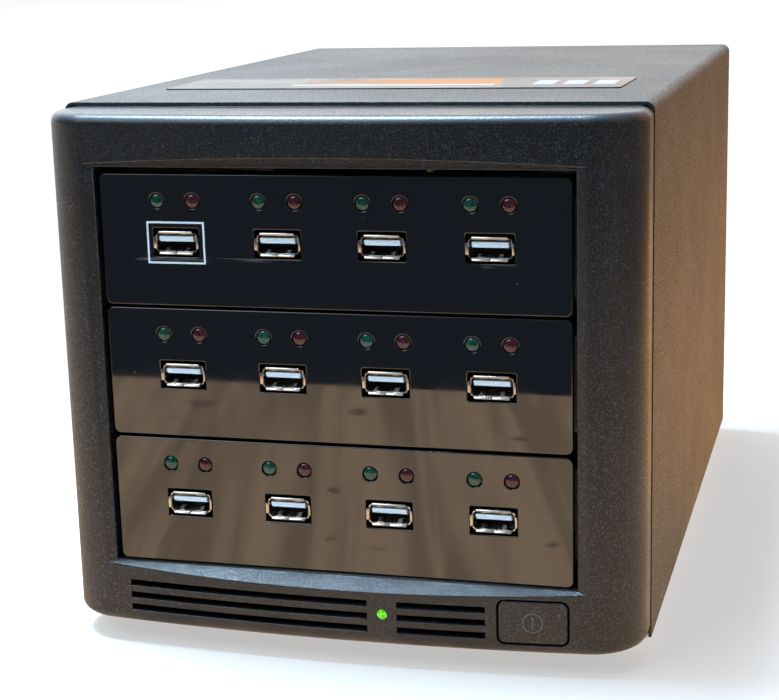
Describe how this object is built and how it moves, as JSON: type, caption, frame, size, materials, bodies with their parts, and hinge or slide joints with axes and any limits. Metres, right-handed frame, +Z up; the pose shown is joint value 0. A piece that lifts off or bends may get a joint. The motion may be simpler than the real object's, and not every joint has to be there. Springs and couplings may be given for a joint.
{
  "type": "drive duplicator",
  "caption": "Desktop USB stick duplicator: folded steel case, bowed moulded bezel, gloss port panels with indicator lights, push power button, rear fan and mains inlet.",
  "frame": {"origin": "centre of the bounding box in X and Y, at the level the feet stand on", "axes": "+X to the right seen from the front, +Y towards the back, +Z up; the ports face -Y"},
  "size_m": [0.19, 0.2952, 0.1739],
  "materials": {
    "black_steel": "fine-textured black powder coat",
    "zinc_steel": "zinc-plated sheet steel",
    "psu_steel": "galvanised sheet steel",
    "bezel_plastic": "charcoal ABS with a fine moulded grain",
    "black_plastic": "black moulded plastic",
    "gloss_black": "high-gloss black",
    "nickel": "nickel-plated stamped shell",
    "tongue_white": "off-white insulator",
    "led_green": "unlit green indicator",
    "led_red": "unlit red indicator",
    "light_green": "lit green lens",
    "circuit_board": "green solder mask",
    "chip_black": "moulded chips and headers",
    "rubber": "black rubber",
    "label": "dark printed overlay",
    "brass": "plated brass",
    "black_screws": "black oxide",
    "zinc_screws": "zinc plate"
  },
  "bodies": {
    "chassis": {"base_pan": "zinc_steel", "bay_cage": "zinc_steel", "bay_tray_bottom": "zinc_steel", "bay_tray_middle": "zinc_steel", "bay_tray_top": "zinc_steel", "case_fan_frame": "black_plastic", "controller_board": "circuit_board", "controller_parts": "chip_black", "cover_screws": "black_screws", "fan_screws": "black_screws", "front_bezel": "bezel_plastic", "front_frame": "zinc_steel", "green_leds_bottom": "led_green", "green_leds_middle": "led_green", "green_leds_top": "led_green", "inlet_pins": "brass", "outer_cover": "black_steel", "port_board_bottom": "circuit_board", "port_board_middle": "circuit_board", "port_board_top": "circuit_board", "port_panel_bottom": "gloss_black", "port_panel_middle": "gloss_black", "port_panel_top": "gloss_black", "power_inlet": "black_plastic", "power_light": "light_green", "power_switch": "black_plastic", "psu_board": "circuit_board", "psu_case": "psu_steel", "psu_fan_frame": "black_plastic", "psu_screws": "zinc_screws", "rear_panel": "zinc_steel", "red_leds_bottom": "led_red", "red_leds_middle": "led_red", "red_leds_top": "led_red", "rocker_frame": "black_plastic", "rubber_feet": "rubber", "top_label": "label", "tray_screws": "zinc_screws", "usb_shells_bottom": "nickel", "usb_shells_middle": "nickel", "usb_shells_top": "nickel", "usb_tongues_bottom": "tongue_white", "usb_tongues_middle": "tongue_white", "usb_tongues_top": "tongue_white"},
    "power_button": {"power_button": "bezel_plastic"},
    "power_rocker": {"power_rocker": "black_plastic"},
    "case_fan_rotor": {"case_fan_rotor": "black_plastic"},
    "psu_fan_rotor": {"psu_fan_rotor": "black_plastic"}
  },
  "joints": [
    {"name": "power_press", "type": "slide", "parent": "chassis", "child": "power_button", "axis": [0, 1, 0], "range_m": [0, 0.0025], "stiffness_N_per_m": 900, "springref_m": -0.001},
    {"name": "rocker_tip", "type": "hinge", "parent": "chassis", "child": "power_rocker", "pos_m": [0.034, 0.1434, 0.0525], "axis": [1, 0, 0], "range_deg": [-7, 7]},
    {"name": "case_fan_spin", "type": "hinge", "parent": "chassis", "child": "case_fan_rotor", "pos_m": [0, 0.1314, 0.11], "axis": [0, 1, 0], "continuous": true},
    {"name": "psu_fan_spin", "type": "hinge", "parent": "chassis", "child": "psu_fan_rotor", "pos_m": [-0.0225, 0.1354, 0.03775], "axis": [0, 1, 0], "continuous": true}
  ]
}
